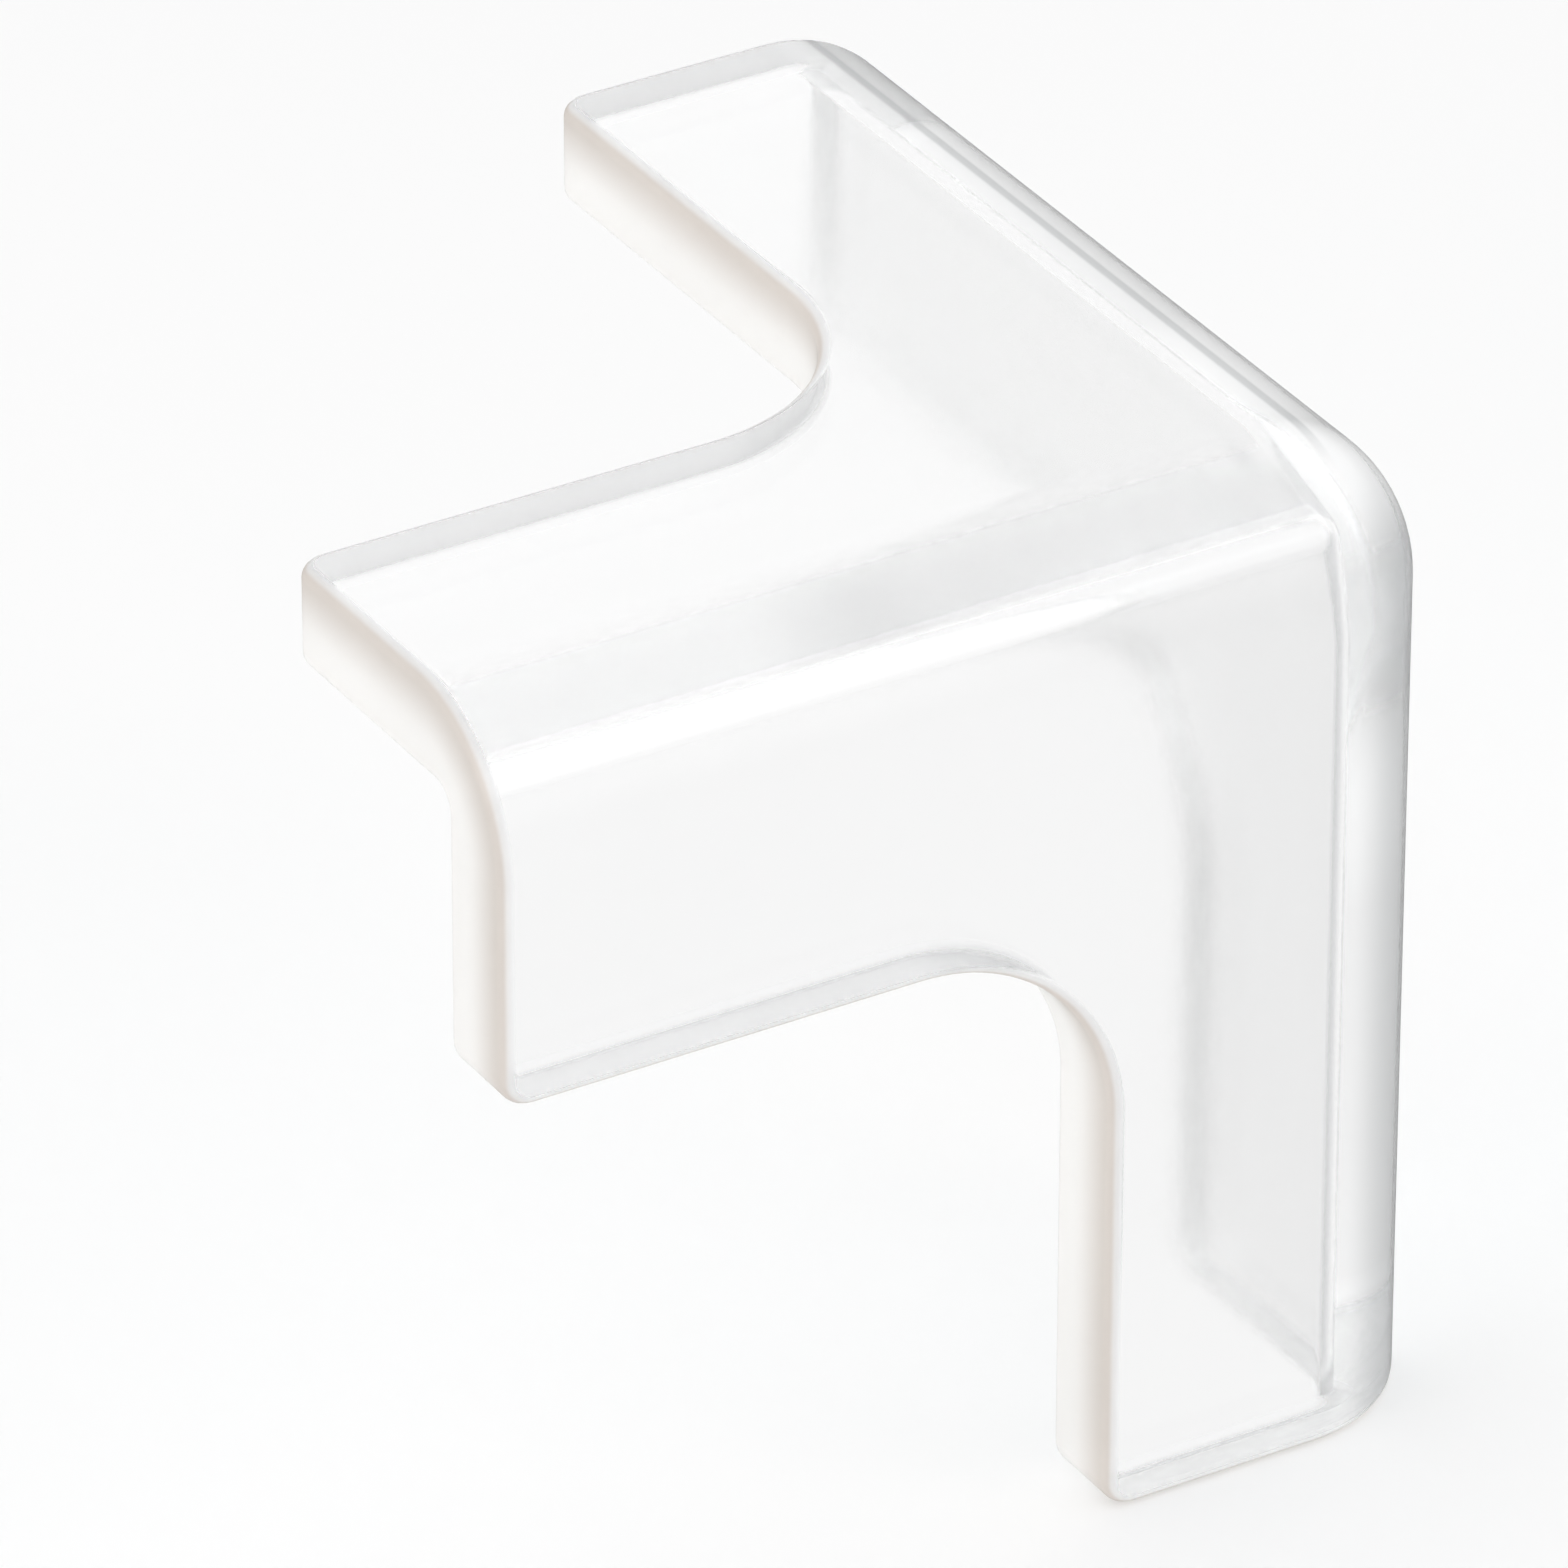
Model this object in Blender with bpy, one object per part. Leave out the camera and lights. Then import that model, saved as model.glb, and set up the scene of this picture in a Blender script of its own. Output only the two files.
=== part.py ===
"""Clear corner guard, moulded in one piece.

Three flanges cover the three faces that meet at a square corner. Each is a thin L-shaped wall,
with its outer edges well rounded and a rounded square notch between its two arms. Metres, +Z up,
in the position in which the guard is fitted. The origin is the sharp corner that it covers, and
the space that it covers lies at x < 0, y > 0 and z < 0.
"""

import math

import bmesh
import bpy
from mathutils import Vector

# Driving dimensions
ARM_LENGTH = 0.040  # outer corner to the end of each arm
ARM_WIDTH = 0.015  # outer face to the free edge of each flange
WALL = 0.004  # thickness of each flange
OUTER_RADIUS = 0.006  # outer edges and the ball-shaped outer corner
SEAT_RADIUS = 0.0008  # inside edges, where the seat faces meet
NOTCH_RADIUS = 0.008  # inside corner of each notch, in plan
END_RADIUS = 0.001  # corners at the arm ends, in plan
RIM_RADIUS = 0.0005  # every edge that runs round the rim

# Facets along each quarter turn
OUTER_FACETS = 12
SEAT_FACETS = 3
NOTCH_FACETS = 12
END_FACETS = 4
RIM_FACETS = 2

# Clear soft PVC
PVC_COLOUR = (0.93, 0.95, 0.96, 1.0)
PVC_ROUGHNESS = 0.08
PVC_IOR = 1.53
PVC_TRANSMISSION = 0.9

RIM_ANGLE = math.radians(60)  # faces that meet more sharply than this form the rim
FLAT_ANGLE = math.radians(1)
SMOOTH_ANGLE = math.radians(35)

# Limits on a radius, so that a thin wall is not rounded away
OUTER_RADIUS_IN_WALLS = 2.0  # the ball corner then keeps a quarter of the wall
RIM_RADIUS_IN_WALLS = 0.4  # the two rims stay apart
RIM_RADIUS_IN_END_RADII = 0.8  # the rim can turn round the arm's corner


def clear_scene():
    for thing in list(bpy.data.objects):
        bpy.data.objects.remove(thing)


def clear_pvc():
    material = bpy.data.materials.new("clear_soft_pvc")
    material.use_nodes = True
    shader = material.node_tree.nodes["Principled BSDF"]
    shader.inputs["Base Color"].default_value = PVC_COLOUR
    shader.inputs["Roughness"].default_value = PVC_ROUGHNESS
    shader.inputs["Metallic"].default_value = 0.0
    shader.inputs["IOR"].default_value = PVC_IOR
    shader.inputs["Transmission Weight"].default_value = PVC_TRANSMISSION
    return material


def grid_lines():
    """Where square faces would lie, as distances from the covered corner into each arm."""
    return (-WALL, 0.0, ARM_WIDTH - WALL, ARM_LENGTH - WALL)


def is_filled(cell):
    """A cell of the square grid is solid if it is in a wall, step 0, and not in a notch,
    which lies beyond the arm's width, step 2, in two directions."""
    return 0 in cell and cell.count(2) < 2


def at(steps):
    """A point of the grid. Arms run towards -X, +Y and -Z."""
    lines = grid_lines()
    return Vector((-lines[steps[0]], lines[steps[1]], -lines[steps[2]]))


def square_guard(mesh):
    """The guard with every edge still sharp: the outside faces of the filled cells."""
    cells = [(i, j, k) for i in range(3) for j in range(3) for k in range(3)]
    filled = {cell for cell in cells if is_filled(cell)}
    corners = {}
    for cell in sorted(filled):
        for axis in range(3):
            for side in (0, 1):
                neighbour = list(cell)
                neighbour[axis] += 2 * side - 1
                if tuple(neighbour) in filled:
                    continue
                add_cell_face(mesh, corners, cell, axis, side)
    bmesh.ops.recalc_face_normals(mesh, faces=mesh.faces)
    bmesh.ops.dissolve_limit(mesh, angle_limit=FLAT_ANGLE, verts=mesh.verts, edges=mesh.edges)


def add_cell_face(mesh, corners, cell, axis, side):
    across, along = [n for n in range(3) if n != axis]
    ring = []
    for da, db in ((0, 0), (1, 0), (1, 1), (0, 1)):
        step = list(cell)
        step[axis] += side
        step[across] += da
        step[along] += db
        key = tuple(step)
        if key not in corners:
            corners[key] = mesh.verts.new(at(key))
        ring.append(corners[key])
    mesh.faces.new(ring)


def edges_between(mesh, ends):
    """The edges whose two ends are the given grid points."""
    wanted = [{tuple(round(c, 7) for c in at(step)) for step in pair} for pair in ends]
    found = []
    for edge in mesh.edges:
        if {tuple(round(c, 7) for c in vert.co) for vert in edge.verts} in wanted:
            found.append(edge)
    if len(found) != len(wanted):
        raise ValueError(f"{len(found)} edges found of {len(wanted)}")
    return found


def turned(steps):
    """The same grid point on each of the three arms, by turning the axes round."""
    return [steps, steps[2:] + steps[:2], steps[1:] + steps[:1]]


def on_each_arm(first, second):
    return list(zip(turned(first), turned(second)))


def round_edges(mesh, edges, radius, facets):
    bmesh.ops.bevel(
        mesh,
        geom=edges,
        offset=radius,
        offset_type="OFFSET",
        segments=facets,
        profile=0.5,
        affect="EDGES",
        clamp_overlap=False,
    )


def rim_edges(mesh):
    """The two sharp loops left round the whole rim, outside and inside."""
    return [edge for edge in mesh.edges if edge.calc_face_angle() > RIM_ANGLE]


def outer_radius():
    return min(OUTER_RADIUS, OUTER_RADIUS_IN_WALLS * WALL)


def rim_radius():
    return min(RIM_RADIUS, RIM_RADIUS_IN_WALLS * WALL, RIM_RADIUS_IN_END_RADII * END_RADIUS)


def corner_guard():
    mesh = bmesh.new()
    square_guard(mesh)
    outer = edges_between(mesh, on_each_arm((0, 0, 0), (3, 0, 0)))
    seats = edges_between(mesh, on_each_arm((1, 1, 1), (3, 1, 1)))
    notches = edges_between(mesh, on_each_arm((2, 2, 0), (2, 2, 1)))
    ends = edges_between(mesh, on_each_arm((3, 2, 0), (3, 2, 1)))
    ends += edges_between(mesh, on_each_arm((2, 3, 0), (2, 3, 1)))
    round_edges(mesh, outer, outer_radius(), OUTER_FACETS)
    round_edges(mesh, seats, SEAT_RADIUS, SEAT_FACETS)
    round_edges(mesh, notches, NOTCH_RADIUS, NOTCH_FACETS)
    round_edges(mesh, ends, END_RADIUS, END_FACETS)
    round_edges(mesh, rim_edges(mesh), rim_radius(), RIM_FACETS)
    data = bpy.data.meshes.new("corner_guard")
    mesh.to_mesh(data)
    mesh.free()
    data.materials.append(clear_pvc())
    data.shade_smooth()
    data.set_sharp_from_angle(angle=SMOOTH_ANGLE)
    guard = bpy.data.objects.new("corner_guard", data)
    bpy.context.collection.objects.link(guard)
    return guard


def main():
    clear_scene()
    corner_guard()


main()
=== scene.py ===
"""Clear corner guard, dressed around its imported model.

Three flanges of clear soft PVC lie on the top, front and side of a square corner. Arms run towards
-X, +Y and -Z from that corner, which is the origin. Metres, +Z up.
"""

import math

import bpy
from mathutils import Matrix, Vector


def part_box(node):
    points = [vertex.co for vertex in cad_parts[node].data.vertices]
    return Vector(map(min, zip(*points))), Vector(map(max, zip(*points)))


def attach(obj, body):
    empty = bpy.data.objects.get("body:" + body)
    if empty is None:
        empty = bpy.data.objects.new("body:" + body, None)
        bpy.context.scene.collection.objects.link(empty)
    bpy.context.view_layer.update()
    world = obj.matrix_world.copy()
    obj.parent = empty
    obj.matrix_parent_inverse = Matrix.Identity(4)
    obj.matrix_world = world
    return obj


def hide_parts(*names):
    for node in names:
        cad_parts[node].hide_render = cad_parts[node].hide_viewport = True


bl_info = {
    "name": "Clear corner guard",
    "version": (1, 0, 0),
    "blender": (4, 5, 0),
    "location": "3D View > Sidebar > Corner guard",
    "description": "Builds a clear moulded corner guard and a pale studio to look at it in",
    "category": "Object",
}

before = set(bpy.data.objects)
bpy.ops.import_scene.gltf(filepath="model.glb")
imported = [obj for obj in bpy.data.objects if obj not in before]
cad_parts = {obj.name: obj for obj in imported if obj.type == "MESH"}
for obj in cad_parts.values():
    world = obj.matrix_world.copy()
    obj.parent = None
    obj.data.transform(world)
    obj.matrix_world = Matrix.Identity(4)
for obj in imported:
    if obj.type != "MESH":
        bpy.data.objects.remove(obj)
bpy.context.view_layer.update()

NODE = "corner_guard"
MM = 0.001

low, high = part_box(NODE)
WALL = high.x
ARM_LENGTH = high.x - low.x
FLOOR_HEIGHT = low.z

# Turns from arm space, where the arms run towards +X, +Y and +Z, to the frame
TO_FRAME = (0.0, math.pi, 0.0)
INTO_ARMS = (-1.0, 1.0, -1.0)
ARMS = 3
ARM_AXIS = (1.0, 1.0, 1.0)  # the arms change places round this line
THIRD_TURN = 2 * math.pi / ARMS

# Facets along each quarter turn
OUTER_FACETS = 24
SEAT_FACETS = 6
NOTCH_FACETS = 28
END_FACETS = 8
RIM_FACETS = 5
RIM_ANGLE = math.radians(60)  # faces that meet more sharply than this form the rim
NEAR = 1e-5  # an edge this close to a plane of the square guard lies on it
COUNT_SLACK = 0.5
BROAD_FACES = 100  # the weight at which they alone give the shading of their corners

# Clear soft PVC
PVC_IOR = 1.53
PVC_DENSITY = 2.0  # of absorption, per metre
SHADOW_TINT = "F2F5F6"  # what lamplight keeps on its way through
WAVE_SPACING = 7 * MM
WAVE_HEIGHT = 0.001 * MM
POLISH_SPACING = 3 * MM
POLISH_CHANGE = 0.3  # how far the roughness strays from its mean

# Depths below the outer and seat faces between which a finish comes in, in walls
SATIN_DEPTHS = (0.0, 0.01)
MILK_DEPTHS = (0.002, 0.06)
# Over the cream depths the rim goes from the darker tan of painted shade at the outer face to
# cream
CREAM_DEPTHS = (0.0, 0.7)
SEAT_DEPTHS = (0.04, 0.01)

# Painted grey of the outer edges: painted shade on the upright one, darkest halfway round, and a
# painted reflection line on the one between the top and the side. Two outward directions multiply
# to 0.5 radii squared halfway round.
UPRIGHT_SHARES = (0.15, 0.5)
LINE_PLACE = 0.31  # how far out the painted reflection line lies on the rounding, in outer radii
LINE_HALF_WIDTH = 0.36 * MM
LINE_CORE = 0.4  # share of the half width that is full grey
LINE_TOP_SHARES = (0.5, 0.8)
LINE_CORNER_SHARES = (0.5, 0.0)  # it fades out on the ball-shaped corner

# The view of the photograph
IMAGE_SIDE = 1568
PIXELS_PER_METRE = 27660.0  # at the aim point
VIEW_AZIMUTH = math.radians(-30.7517)
VIEW_ELEVATION = math.radians(30.6929)
VIEW_ROLL = math.radians(0.1115)
VIEW_DISTANCE = 0.5298
VIEW_AIM = Vector((-0.009, 0.009, -0.009))
VIEW_ACROSS = -0.0068838
VIEW_UP = -0.0028674
SENSOR = 36.0
CLIP_START = 0.01

# The studio. A lamp's place is its direction from the origin, its distance and its side.
PATH_BOUNCES = 16  # reflections and passes that a light path may have
FLOOR_REACH = 4.0
WHITE_HEIGHT = 0.4  # a direction that rises this much sees pure white
WHITE = "FFFFFF"
KEY_DIRECTION = (0.44, -0.58, 0.68)  # its mirror image lies along the rounded front edge
KEY_DISTANCE = 0.9
KEY_SIDE = 0.36
KEY_STEPS = (1.0, 0.8, 0.6, 0.4)  # lamps in front of each other, so that the edge is soft
FILL_PLACE = ((-0.9, -0.25, 0.3), 0.9, 0.5)
TOP_PLACE = ((-0.1, 0.2, 1.0), 1.2, 1.0)

# Kinds of node that are used most
MATHS = "ShaderNodeMath"
VECTORS = "ShaderNodeVectorMath"
COMBINE = "ShaderNodeCombineXYZ"
RAMP = "ShaderNodeMapRange"
SMOOTH = {"interpolation_type": "SMOOTHSTEP"}
MIX = "ShaderNodeMix"
MIX_SHADER = "ShaderNodeMixShader"


class GuardSizes(bpy.types.PropertyGroup):
    """Sizes of the moulded guard"""

    arm_length: bpy.props.FloatProperty(
        name="Arm length", description="Outer corner to the end of each arm",
        default=ARM_LENGTH, min=0.02, unit="LENGTH", subtype="DISTANCE",
    )
    arm_width: bpy.props.FloatProperty(
        name="Arm width", description="Outer face to the free edge of each flange",
        default=15 * MM, min=0.006, unit="LENGTH", subtype="DISTANCE",
    )
    wall: bpy.props.FloatProperty(
        name="Wall", description="Thickness of each flange",
        default=WALL, min=0.001, unit="LENGTH", subtype="DISTANCE",
    )
    outer_radius: bpy.props.FloatProperty(
        name="Outer radius", description="Outer edges and the ball-shaped outer corner",
        default=6 * MM, min=0.0005, unit="LENGTH", subtype="DISTANCE",
    )
    seat_radius: bpy.props.FloatProperty(
        name="Seat radius", description="Inside edges, where the seat faces meet",
        default=0.8 * MM, min=0.0001, unit="LENGTH", subtype="DISTANCE",
    )
    notch_radius: bpy.props.FloatProperty(
        name="Notch radius", description="Inside corner of each notch, in plan",
        default=8 * MM, min=0.001, unit="LENGTH", subtype="DISTANCE",
    )
    end_radius: bpy.props.FloatProperty(
        name="End radius", description="Corners at the arm ends, in plan",
        default=1.2 * MM, min=0.0002, unit="LENGTH", subtype="DISTANCE",
    )
    rim_radius: bpy.props.FloatProperty(
        name="Rim radius", description="Every edge that runs round the rim",
        default=0.55 * MM, min=0.0001, unit="LENGTH", subtype="DISTANCE",
    )


class GuardLook(bpy.types.PropertyGroup):
    """Colours and finish of the PVC"""

    surface: bpy.props.StringProperty(
        name="Surface", description="Tint that each crossed surface gives, as sRGB hex",
        default="FEFEFE",
    )
    # Painted grey: the painted shade over the upright outer edge and the painted reflection line
    thick: bpy.props.StringProperty(
        name="Thick", description="Grey of the thick upright edge and of the moulding line",
        default="BFC1C2",
    )
    rim: bpy.props.StringProperty(
        name="Rim", description="Milky colour of the rim at the seat, as sRGB hex",
        default="FFFDFA",
    )
    # Painted shade: the darker tan that the rim is given towards the outer face
    rim_painted_shade: bpy.props.StringProperty(
        name="Outer rim", description="Milky colour of the rim at the outside, as sRGB hex",
        default="D6CCC3",
    )
    depth: bpy.props.StringProperty(
        name="Depth", description="Colour that thick sections run to, as sRGB hex",
        default="DCDFE0",
    )
    roughness: bpy.props.FloatProperty(
        name="Roughness", description="Mean roughness of the moulded surface",
        default=0.08, min=0.0, max=1.0, subtype="FACTOR",
    )
    haze: bpy.props.FloatProperty(
        name="Haze", description="Share of light that the clear walls scatter as white",
        default=0.01, min=0.0, max=1.0, subtype="FACTOR",
    )
    milk: bpy.props.FloatProperty(
        name="Milk", description="Share of light that the rim scatters as white",
        default=0.55, min=0.0, max=1.0, subtype="FACTOR",
    )
    seat_roughness: bpy.props.FloatProperty(
        name="Seat roughness", description="Roughness that the seat has above the outside",
        default=0.1, min=0.0, max=1.0, subtype="FACTOR",
    )
    rim_roughness: bpy.props.FloatProperty(
        name="Rim roughness", description="Roughness that the rim has above the broad faces",
        default=0.45, min=0.0, max=1.0, subtype="FACTOR",
    )


class StudioLook(bpy.types.PropertyGroup):
    """Floor and light of the studio"""

    floor: bpy.props.StringProperty(
        name="Floor", description="Floor colour, as sRGB hex", default="F8F8F8",
    )
    through: bpy.props.StringProperty(
        name="Through", description="White that shows through the guard, as sRGB hex",
        default="FDFDFD",
    )
    gloss: bpy.props.StringProperty(
        name="Gloss", description="Grey that the guard's surface mirrors, as sRGB hex",
        default="8C8C8C",
    )
    ambient: bpy.props.FloatProperty(
        name="Ambient", description="Strength of the light from all round",
        default=0.76, min=0.0,
    )
    key: bpy.props.FloatProperty(
        name="Key light", description="Power of the softbox at the front right",
        default=0.54, min=0.0, unit="POWER",
    )
    fill: bpy.props.FloatProperty(
        name="Fill light", description="Power of the softbox at the left",
        default=2.9, min=0.0, unit="POWER",
    )
    top: bpy.props.FloatProperty(
        name="Top light", description="Power of the softbox overhead",
        default=1.8, min=0.0, unit="POWER",
    )


def linear(hex_colour):
    """An sRGB hex colour as linear RGBA."""
    shown = [int(hex_colour[n:n + 2], 16) / 255 for n in (0, 2, 4)]
    light = [c / 12.92 if c <= 0.04045 else ((c + 0.055) / 1.055) ** 2.4 for c in shown]
    return (*light, 1.0)


def add(tree, kind, inputs=None, **settings):
    """Adds a node. Each input is a value, or the socket that feeds it."""
    made = tree.nodes.new(kind)
    for name, value in settings.items():
        setattr(made, name, value)
    for name, value in (inputs or {}).items():
        if isinstance(value, bpy.types.NodeSocket):
            tree.links.new(value, made.inputs[name])
        else:
            made.inputs[name].default_value = value
    return made


def result(tree, kind, *values, **settings):
    """The first output of a node that takes these values as its first inputs."""
    return add(tree, kind, dict(enumerate(values)), **settings).outputs[0]


def new_material(name):
    material = bpy.data.materials.new(name)
    material.use_nodes = True
    material.node_tree.nodes.clear()
    return material


def from_centre(tree, arms, centre):
    """How far a point lies outwards from the centre of a rounding, along each arm and in all."""
    outwards = result(tree, VECTORS, (centre, centre, centre), arms, operation="SUBTRACT")
    outwards = result(tree, VECTORS, outwards, (0.0, 0.0, 0.0), operation="MAXIMUM")
    return outwards, add(tree, VECTORS, {0: outwards}, operation="LENGTH").outputs["Value"]


def moulded_skin(tree, place, look):
    """Normal and roughness of the polished faces. Shrinkage leaves the faintest waves in them,
    and the polish of the tool varies a little."""
    waves = add(
        tree, "ShaderNodeTexNoise", {"Vector": place, "Scale": 1 / WAVE_SPACING, "Detail": 1.0},
    )
    relief = add(
        tree, "ShaderNodeBump",
        {"Height": waves.outputs["Fac"], "Strength": 1.0, "Distance": WAVE_HEIGHT},
    )
    polish = add(
        tree, "ShaderNodeTexNoise", {"Vector": place, "Scale": 1 / POLISH_SPACING, "Detail": 2.0},
    )
    rough = result(
        tree, RAMP, polish.outputs["Fac"], 0.0, 1.0,
        look.roughness * (1 - POLISH_CHANGE), look.roughness * (1 + POLISH_CHANGE),
    )
    return relief.outputs["Normal"], rough


def painted_edge_grey(tree, outwards, sizes):
    """How grey the outer edges are painted: painted shade over the upright one all over, darkest
    halfway round, and a thin painted reflection line along the one between the top and the side."""
    along = add(tree, "ShaderNodeSeparateXYZ", {"Vector": outwards}).outputs
    radius = sizes.outer_radius
    turned = result(tree, MATHS, along["X"], along["Y"], operation="MULTIPLY")
    start, end = (share * radius ** 2 for share in UPRIGHT_SHARES)
    upright = result(tree, RAMP, turned, start, end, **SMOOTH)
    off_line = result(tree, MATHS, along["X"], LINE_PLACE * radius, operation="SUBTRACT")
    off_line = result(tree, MATHS, off_line, operation="ABSOLUTE")
    line = result(tree, RAMP, off_line, LINE_HALF_WIDTH, LINE_CORE * LINE_HALF_WIDTH, **SMOOTH)
    for way, (start, end) in (("Z", LINE_TOP_SHARES), ("Y", LINE_CORNER_SHARES)):
        fade = result(tree, RAMP, along[way], start * radius, end * radius, **SMOOTH)
        line = result(tree, MATHS, line, fade, operation="MULTIPLY")
    return result(tree, MATHS, upright, line, operation="ADD")


def clear_soft_pvc(look, sizes):
    """Plasticised PVC, injection moulded in a polished tool: clear like glass with a soft skin.
    Thin walls are colourless, and only paths of several centimetres take a cool grey. The polish
    gives the outside a tight gloss. The seat faces are slightly satin. The tool is not polished
    round the rim, so the walls there are satin and look milky from outside, cream near the seat.
    Towards the outer face the rim turns a darker tan, which is painted shade. Painted shade also
    greys the upright outer edge, and a painted reflection line runs along the edge between the
    top and the side."""
    material = new_material("clear_soft_pvc_moulded")
    tree = material.node_tree
    place = add(tree, "ShaderNodeTexCoord").outputs["Object"]
    normal, rough = moulded_skin(tree, place, look)
    arms = result(tree, VECTORS, place, INTO_ARMS, operation="MULTIPLY")
    outwards, reach = from_centre(tree, arms, sizes.outer_radius - sizes.wall)
    below_outer = result(tree, MATHS, sizes.outer_radius, reach, operation="SUBTRACT")
    _, reach = from_centre(tree, arms, sizes.seat_radius)
    below_seat = result(tree, MATHS, reach, sizes.seat_radius, operation="SUBTRACT")
    nearest = result(tree, MATHS, below_outer, below_seat, operation="MINIMUM")
    satin, rim, cream, seat = (
        result(tree, RAMP, depth, start * sizes.wall, end * sizes.wall, **SMOOTH)
        for depth, (start, end) in (
            (nearest, SATIN_DEPTHS), (nearest, MILK_DEPTHS),
            (below_outer, CREAM_DEPTHS), (below_seat, SEAT_DEPTHS),
        )
    )
    for part, extra in ((satin, look.rim_roughness), (seat, look.seat_roughness)):
        rough = result(tree, MATHS, part, extra, rough, operation="MULTIPLY_ADD")
    inside = add(tree, "ShaderNodeNewGeometry").outputs["Backfacing"]
    outside = result(tree, MATHS, 1.0, inside, operation="SUBTRACT")
    milky = result(tree, MATHS, rim, outside, operation="MULTIPLY")
    milk = result(tree, MATHS, milky, look.milk, operation="MULTIPLY")
    off_rim = result(tree, MATHS, 1.0, rim, operation="SUBTRACT")
    # Painted shade on the upright edge and the painted reflection line, kept off the milky rim
    grey = result(tree, MATHS, painted_edge_grey(tree, outwards, sizes), off_rim, operation="MULTIPLY")
    # The milky rim: cream at the seat, with painted shade of darker tan towards the outer face
    rim_tint_and_shade = add(
        tree, MIX, {0: cream, 6: linear(look.rim_painted_shade), 7: linear(look.rim)}, data_type="RGBA",
    ).outputs[2]
    tint = add(
        tree, MIX, {0: milky, 6: linear(look.surface), 7: rim_tint_and_shade}, data_type="RGBA",
    ).outputs[2]
    tint = add(
        tree, MIX, {0: grey, 6: tint, 7: linear(look.thick)}, data_type="RGBA",
    ).outputs[2]
    clear = add(
        tree, "ShaderNodeBsdfPrincipled",
        {
            "Base Color": tint,
            "Roughness": rough,
            "IOR": PVC_IOR,
            "Transmission Weight": result(
                tree, MATHS, 1.0 - look.haze, milk, operation="SUBTRACT",
            ),
            "Normal": normal,
        },
    ).outputs["BSDF"]
    shade = add(tree, "ShaderNodeBsdfTransparent", {"Color": linear(SHADOW_TINT)}).outputs["BSDF"]
    shadow_ray = add(tree, "ShaderNodeLightPath").outputs["Is Shadow Ray"]
    body = add(
        tree, "ShaderNodeVolumeAbsorption",
        {"Color": linear(look.depth), "Density": PVC_DENSITY},
    ).outputs["Volume"]
    shell = result(tree, MIX_SHADER, shadow_ray, clear, shade)
    add(tree, "ShaderNodeOutputMaterial", {"Surface": shell, "Volume": body})
    return material


def named_input(tree, name, kind, default=None, subtype="NONE"):
    socket = tree.interface.new_socket(name, in_out="INPUT", socket_type=kind)
    if default is not None:
        socket.default_value = default
        socket.subtype = subtype
    return socket.identifier


def just_off(tree, place, plane, count):
    """1 where just this many of a point's three distances are not the plane's."""
    gap = result(tree, VECTORS, place, plane, operation="SUBTRACT")
    gap = result(tree, VECTORS, gap, operation="ABSOLUTE")
    gap = result(tree, VECTORS, gap, (NEAR, NEAR, NEAR), operation="DIVIDE")
    gap = result(tree, VECTORS, gap, (1.0, 1.0, 1.0), operation="MINIMUM")
    off = add(tree, VECTORS, {0: gap, 1: (1.0, 1.0, 1.0)}, operation="DOT_PRODUCT")
    return result(
        tree, MATHS, off.outputs["Value"], count, COUNT_SLACK, operation="COMPARE",
    )


def box(tree, size, centre):
    """A single number stands for the same one along each axis."""
    cube = add(tree, "GeometryNodeMeshCube", {"Size": size}).outputs["Mesh"]
    return add(
        tree, "GeometryNodeTransform", {"Geometry": cube, "Translation": centre},
    ).outputs["Geometry"]


def three_of(tree, shape):
    """The shape once for each arm, turned about the line that all three share."""
    points = add(tree, "GeometryNodePoints", {"Count": ARMS}).outputs[0]
    index = add(tree, "GeometryNodeInputIndex").outputs[0]
    turn = result(tree, MATHS, index, THIRD_TURN, operation="MULTIPLY")
    rotation = add(tree, "FunctionNodeAxisAngleToRotation", {"Axis": ARM_AXIS, "Angle": turn})
    copies = add(
        tree, "GeometryNodeInstanceOnPoints",
        {"Points": points, "Instance": shape, "Rotation": rotation.outputs[0]},
    )
    return result(tree, "GeometryNodeRealizeInstances", copies.outputs[0])


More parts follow.
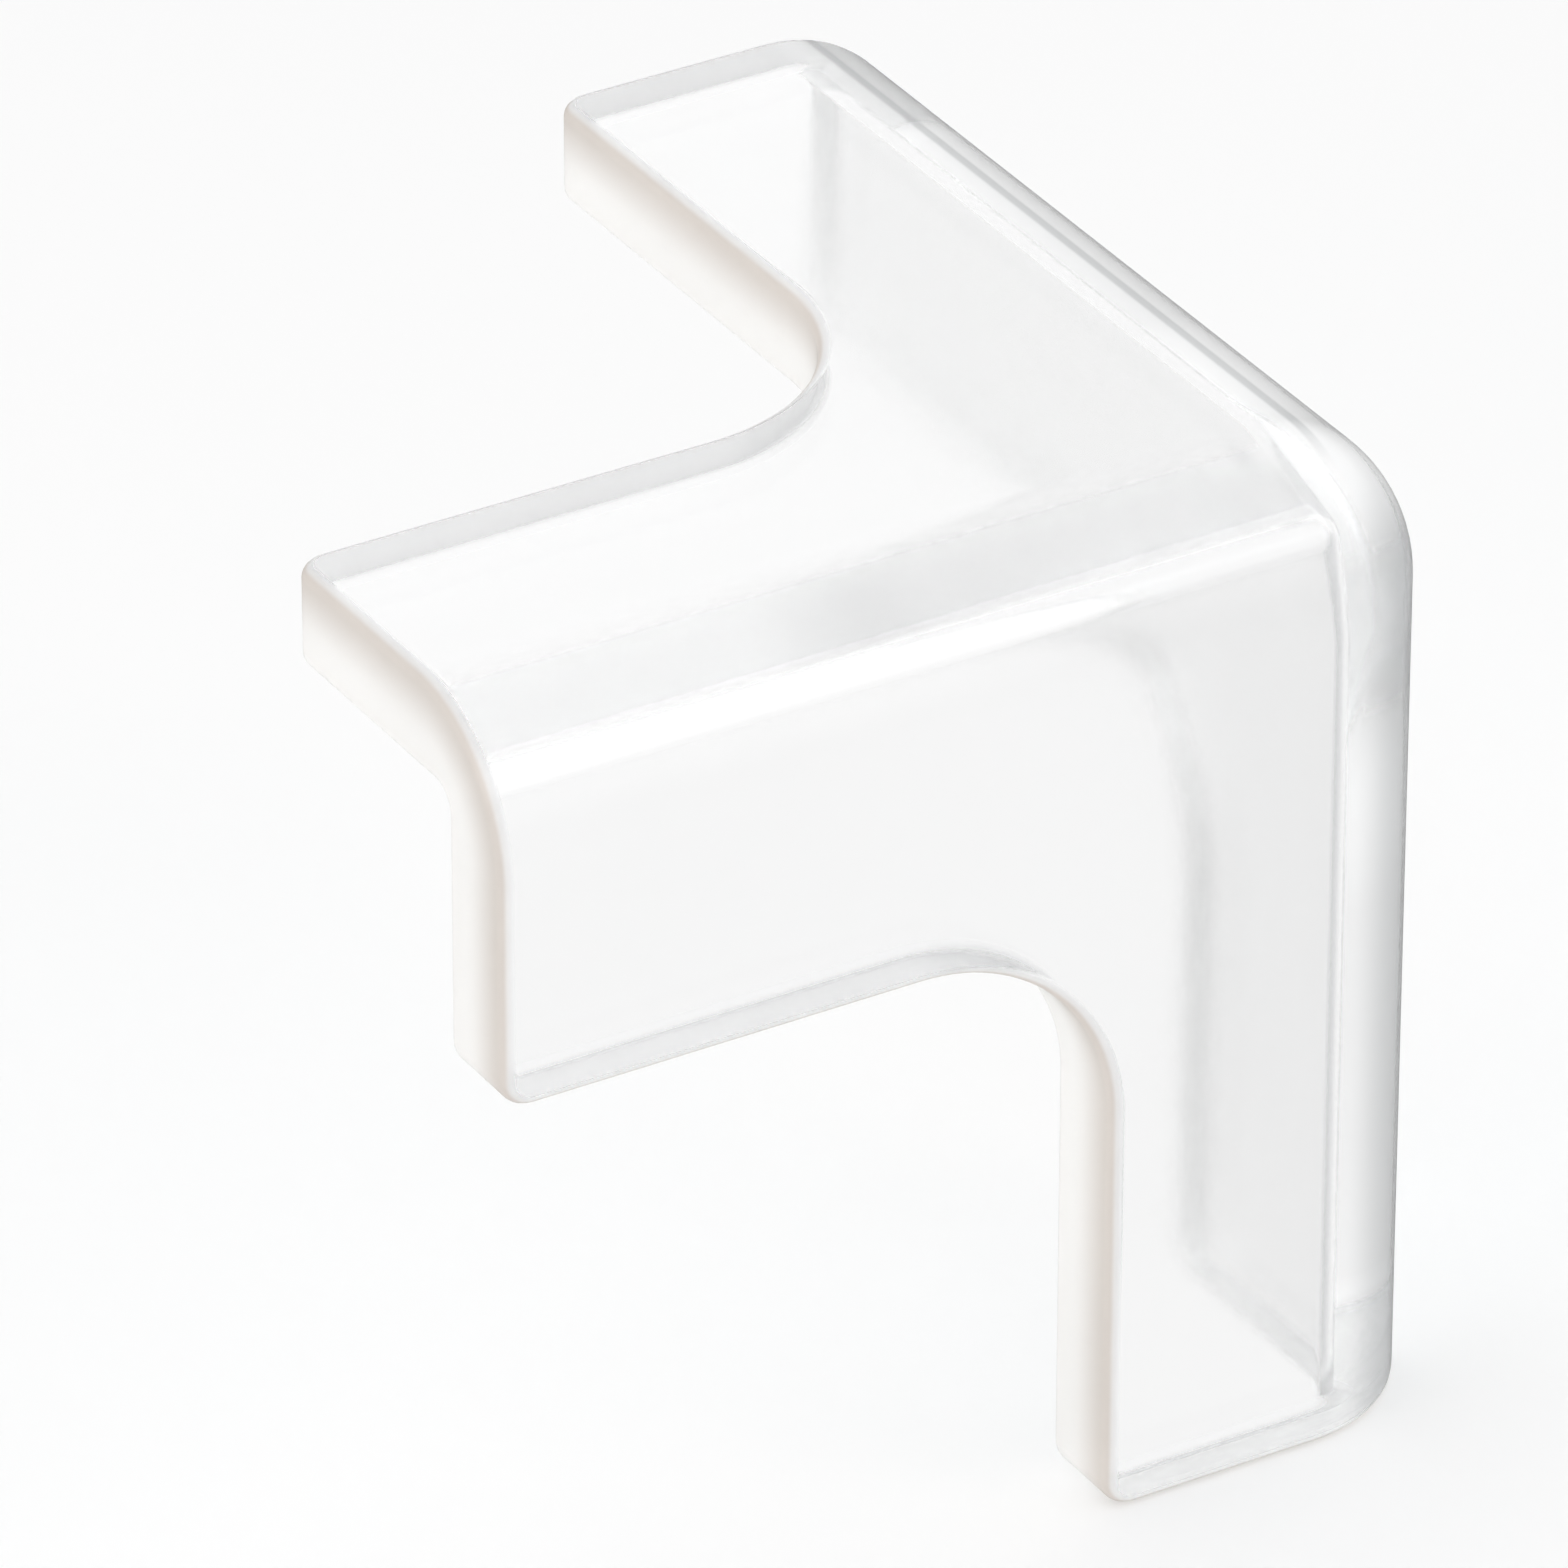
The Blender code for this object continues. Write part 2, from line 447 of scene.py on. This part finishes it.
def guard_tree(sizes):
    """The guard with its edges still square: a block, less the corner that it covers and one
    square notch from each wall. Each edge is marked with the rounding that it gets."""
    tree = bpy.data.node_groups.new("square_corner_guard", "GeometryNodeTree")
    tree.interface.new_socket("Geometry", in_out="INPUT", socket_type="NodeSocketGeometry")
    names = {}
    for name, value in (
        ("Arm length", sizes.arm_length), ("Arm width", sizes.arm_width), ("Wall", sizes.wall),
    ):
        names[name] = named_input(tree, name, "NodeSocketFloat", value, "DISTANCE")
    names["Material"] = named_input(tree, "Material", "NodeSocketMaterial")
    tree.interface.new_socket("Geometry", in_out="OUTPUT", socket_type="NodeSocketGeometry")
    given = add(tree, "NodeGroupInput").outputs
    length, width, wall = given["Arm length"], given["Arm width"], given["Wall"]

    half = result(tree, MATHS, length, 0.5, operation="MULTIPLY")
    double = result(tree, MATHS, length, 2.0, operation="MULTIPLY")
    reach = result(tree, MATHS, length, wall, operation="SUBTRACT")
    notch = result(tree, MATHS, width, wall, operation="SUBTRACT")
    outside = result(tree, MATHS, wall, -1.0, operation="MULTIPLY")
    beyond = result(tree, MATHS, notch, half, operation="ADD")
    block = box(tree, length, result(tree, MATHS, half, wall, operation="SUBTRACT"))
    covered = box(tree, length, half)
    cutter = box(
        tree,
        result(tree, COMBINE, length, length, double),
        result(tree, COMBINE, beyond, beyond, 0.0),
    )
    cut = add(
        tree, "GeometryNodeMeshBoolean", {"Mesh 1": block}, operation="DIFFERENCE", solver="EXACT",
    )
    for tool in (covered, three_of(tree, cutter)):
        tree.links.new(tool, cut.inputs["Mesh 2"])
    cut.inputs["Self Intersection"].default_value = True
    shape = cut.outputs["Mesh"]

    place = add(tree, "GeometryNodeInputPosition").outputs[0]
    marks = {
        "outer": just_off(tree, place, outside, 1.0),
        "seat": just_off(tree, place, (0.0, 0.0, 0.0), 1.0),
        "notch": just_off(tree, place, notch, 1.0),
        "end": result(
            tree, MATHS, just_off(tree, place, notch, 2.0), just_off(tree, place, reach, 2.0),
            operation="MULTIPLY",
        ),
    }
    for name, mark in marks.items():
        shape = add(
            tree, "GeometryNodeStoreNamedAttribute",
            {"Geometry": shape, "Name": name, "Value": mark},
            data_type="FLOAT", domain="EDGE",
        ).outputs["Geometry"]
    shape = add(
        tree, "GeometryNodeTransform", {"Geometry": shape, "Rotation": TO_FRAME},
    ).outputs["Geometry"]
    shape = result(tree, "GeometryNodeSetShadeSmooth", shape)
    shape = result(tree, "GeometryNodeRealizeInstances", shape)
    shape = add(
        tree, "GeometryNodeSetMaterial", {"Geometry": shape, "Material": given["Material"]},
    ).outputs["Geometry"]
    add(tree, "NodeGroupOutput", {"Geometry": shape})
    return tree, names


def round_off(piece, name, radius, facets, **chosen):
    """Rounds edges by a true radius."""
    bevel = piece.modifiers.new(name, "BEVEL")
    bevel.offset_type = "OFFSET"
    bevel.width = radius
    bevel.segments = facets
    bevel.use_clamp_overlap = False
    bevel.loop_slide = False
    for setting, value in chosen.items():
        setattr(bevel, setting, value)


def make_plain(piece, marks):
    """Turns what the modifiers make into a plain mesh, without the marks on its edges."""
    graph = bpy.context.evaluated_depsgraph_get()
    evaluated = piece.evaluated_get(graph)
    mesh = bpy.data.meshes.new_from_object(
        evaluated, preserve_all_data_layers=True, depsgraph=graph,
    )
    piece.modifiers.clear()
    piece.data = mesh
    mesh.name = piece.name
    for mark in marks:
        if mark in mesh.attributes:
            mesh.attributes.remove(mesh.attributes[mark])


class BuildGuard(bpy.types.Operator):
    """Builds the clear guard and lets it stand for the plain model"""

    bl_idname = "corner_guard.build_guard"
    bl_label = "Build guard"

    def execute(self, context):
        sizes = context.scene.guard_sizes
        piece = bpy.data.objects.new("clear_guard", bpy.data.meshes.new("clear_guard"))
        context.scene.collection.objects.link(piece)
        tree, names = guard_tree(sizes)
        square = piece.modifiers.new("square guard", "NODES")
        square.node_group = tree
        square[names["Arm length"]] = sizes.arm_length
        square[names["Arm width"]] = sizes.arm_width
        square[names["Wall"]] = sizes.wall
        square[names["Material"]] = clear_soft_pvc(context.scene.guard_look, sizes)
        roundings = {
            "outer": (sizes.outer_radius, OUTER_FACETS),
            "seat": (sizes.seat_radius, SEAT_FACETS),
            "notch": (sizes.notch_radius, NOTCH_FACETS),
            "end": (sizes.end_radius, END_FACETS),
        }
        for name, (radius, facets) in roundings.items():
            round_off(piece, name, radius, facets, limit_method="WEIGHT", edge_weight=name)
        round_off(
            piece, "rim", sizes.rim_radius, RIM_FACETS,
            limit_method="ANGLE", angle_limit=RIM_ANGLE,
        )
        even = piece.modifiers.new("even shading", "WEIGHTED_NORMAL")
        even.weight = BROAD_FACES
        make_plain(piece, roundings)
        if not piece.data.polygons:
            raise RuntimeError("the guard came out empty")
        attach(piece, "root")
        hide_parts(NODE)
        return {"FINISHED"}


def photo_camera():
    """The camera at the photograph's angle, so that the guard fills the frame as it does there."""
    right0 = Vector((math.cos(VIEW_AZIMUTH), math.sin(VIEW_AZIMUTH), 0))
    back = Vector((
        math.sin(VIEW_AZIMUTH) * math.cos(VIEW_ELEVATION),
        -math.cos(VIEW_AZIMUTH) * math.cos(VIEW_ELEVATION),
        math.sin(VIEW_ELEVATION),
    ))
    up0 = back.cross(right0)
    right = math.cos(VIEW_ROLL) * right0 + math.sin(VIEW_ROLL) * up0
    up = math.cos(VIEW_ROLL) * up0 - math.sin(VIEW_ROLL) * right0
    data = bpy.data.cameras.new("camera")
    data.sensor_width = SENSOR
    data.lens = SENSOR * PIXELS_PER_METRE * VIEW_DISTANCE / IMAGE_SIDE
    data.clip_start = CLIP_START
    camera = bpy.data.objects.new("camera", data)
    turn = Matrix((right, up, back)).transposed()
    camera.matrix_world = turn.to_4x4()
    camera.location = VIEW_AIM + VIEW_ACROSS * right + VIEW_UP * up + VIEW_DISTANCE * back
    bpy.context.scene.collection.objects.link(camera)
    bpy.context.scene.camera = camera


def pale_floor(look):
    """Matt paint: even, no gloss. It shows plain white through the guard, and grey in the guard's
    own gloss, which draws its outline. It keeps the shadow and can't be seen from below."""
    material = new_material("pale_matt_paint")
    tree = material.node_tree
    paint = add(tree, "ShaderNodeBsdfDiffuse", {"Color": linear(look.floor)}).outputs["BSDF"]
    path = add(tree, "ShaderNodeLightPath").outputs
    for ray, colour in (("Is Glossy Ray", look.gloss), ("Is Transmission Ray", look.through)):
        shown = add(tree, "ShaderNodeEmission", {"Color": linear(colour)}).outputs["Emission"]
        paint = result(tree, MIX_SHADER, path[ray], paint, shown)
    below = add(tree, "ShaderNodeNewGeometry").outputs["Backfacing"]
    open_side = add(tree, "ShaderNodeBsdfTransparent").outputs["BSDF"]
    paint = result(tree, MIX_SHADER, below, paint, open_side)
    add(tree, "ShaderNodeOutputMaterial", {"Surface": paint})
    mesh = bpy.data.meshes.new("floor")
    corners = [
        (x * FLOOR_REACH, y * FLOOR_REACH, FLOOR_HEIGHT)
        for x, y in ((-1, -1), (1, -1), (1, 1), (-1, 1))
    ]
    mesh.from_pydata(corners, [], [(0, 1, 2, 3)])
    mesh.materials.append(material)
    floor = bpy.data.objects.new("floor", mesh)
    bpy.context.scene.collection.objects.link(floor)


def softbox(name, power, direction, distance, side):
    """A square lamp that faces the origin."""
    data = bpy.data.lights.new(name, "AREA")
    data.size = side
    data.energy = power
    lamp = bpy.data.objects.new(name, data)
    away = Vector(direction).normalized()
    lamp.rotation_euler = away.to_track_quat("Z", "Y").to_euler()
    lamp.location = away * distance
    bpy.context.scene.collection.objects.link(lamp)


def studio_world(look):
    """White behind the object. In the object's gloss the room darkens towards the horizon."""
    world = bpy.data.worlds.new("studio")
    world.use_nodes = True
    tree = world.node_tree
    tree.nodes.clear()
    direction = add(tree, "ShaderNodeTexCoord").outputs["Generated"]
    height = add(tree, "ShaderNodeSeparateXYZ", {"Vector": direction}).outputs["Z"]
    rising = result(tree, RAMP, height, 0.0, WHITE_HEIGHT, **SMOOTH)
    path = add(tree, "ShaderNodeLightPath").outputs
    seen = result(tree, "ShaderNodeBackground", linear(WHITE), look.ambient)
    for ray, horizon in (
        ("Is Glossy Ray", look.gloss), ("Is Transmission Ray", look.through),
        ("Is Camera Ray", WHITE),
    ):
        shade = add(
            tree, MIX, {0: rising, 6: linear(horizon), 7: linear(WHITE)}, data_type="RGBA",
        ).outputs[2]
        shown = result(tree, "ShaderNodeBackground", shade)
        seen = result(tree, MIX_SHADER, path[ray], seen, shown)
    add(tree, "ShaderNodeOutputWorld", {"Surface": seen})
    bpy.context.scene.world = world


def allow_long_paths():
    """Light is reflected inside a clear wall many times before it leaves, so it may bounce on."""
    cycles = bpy.context.scene.cycles
    cycles.max_bounces = cycles.glossy_bounces = cycles.transmission_bounces = PATH_BOUNCES


class BuildStudio(bpy.types.Operator):
    """Builds the camera, the pale floor and the soft studio light"""

    bl_idname = "corner_guard.build_studio"
    bl_label = "Build studio"

    def execute(self, context):
        look = context.scene.studio_look
        context.scene.view_settings.view_transform = "Standard"
        photo_camera()
        pale_floor(look)
        studio_world(look)
        for share in KEY_STEPS:
            softbox(
                "key_softbox", look.key * share ** 2,
                KEY_DIRECTION, KEY_DISTANCE, KEY_SIDE * share,
            )
        softbox("fill_softbox", look.fill, *FILL_PLACE)
        softbox("top_softbox", look.top, *TOP_PLACE)
        return {"FINISHED"}


class GuardPanel(bpy.types.Panel):
    """Lists the sizes, colours and steps"""

    bl_idname = "VIEW3D_PT_corner_guard"
    bl_label = "Corner guard"
    bl_space_type = "VIEW_3D"
    bl_region_type = "UI"
    bl_category = "Corner guard"

    def draw(self, context):
        for group in (
            context.scene.guard_sizes, context.scene.guard_look, context.scene.studio_look,
        ):
            for name in group.__annotations__:
                self.layout.prop(group, name)
        for step in STEPS:
            self.layout.operator(step.bl_idname)


GROUPS = {"guard_sizes": GuardSizes, "guard_look": GuardLook, "studio_look": StudioLook}
STEPS = (BuildStudio, BuildGuard)


def register():
    for kind in (*GROUPS.values(), *STEPS, GuardPanel):
        bpy.utils.register_class(kind)
    for name, group in GROUPS.items():
        setattr(bpy.types.Scene, name, bpy.props.PointerProperty(type=group))


def unregister():
    for name in GROUPS:
        delattr(bpy.types.Scene, name)
    for kind in (GuardPanel, *reversed(STEPS), *reversed(list(GROUPS.values()))):
        bpy.utils.unregister_class(kind)


def main():
    register()
    bpy.ops.corner_guard.build_studio()
    bpy.ops.corner_guard.build_guard()
    allow_long_paths()


if __name__ == "__main__":
    main()
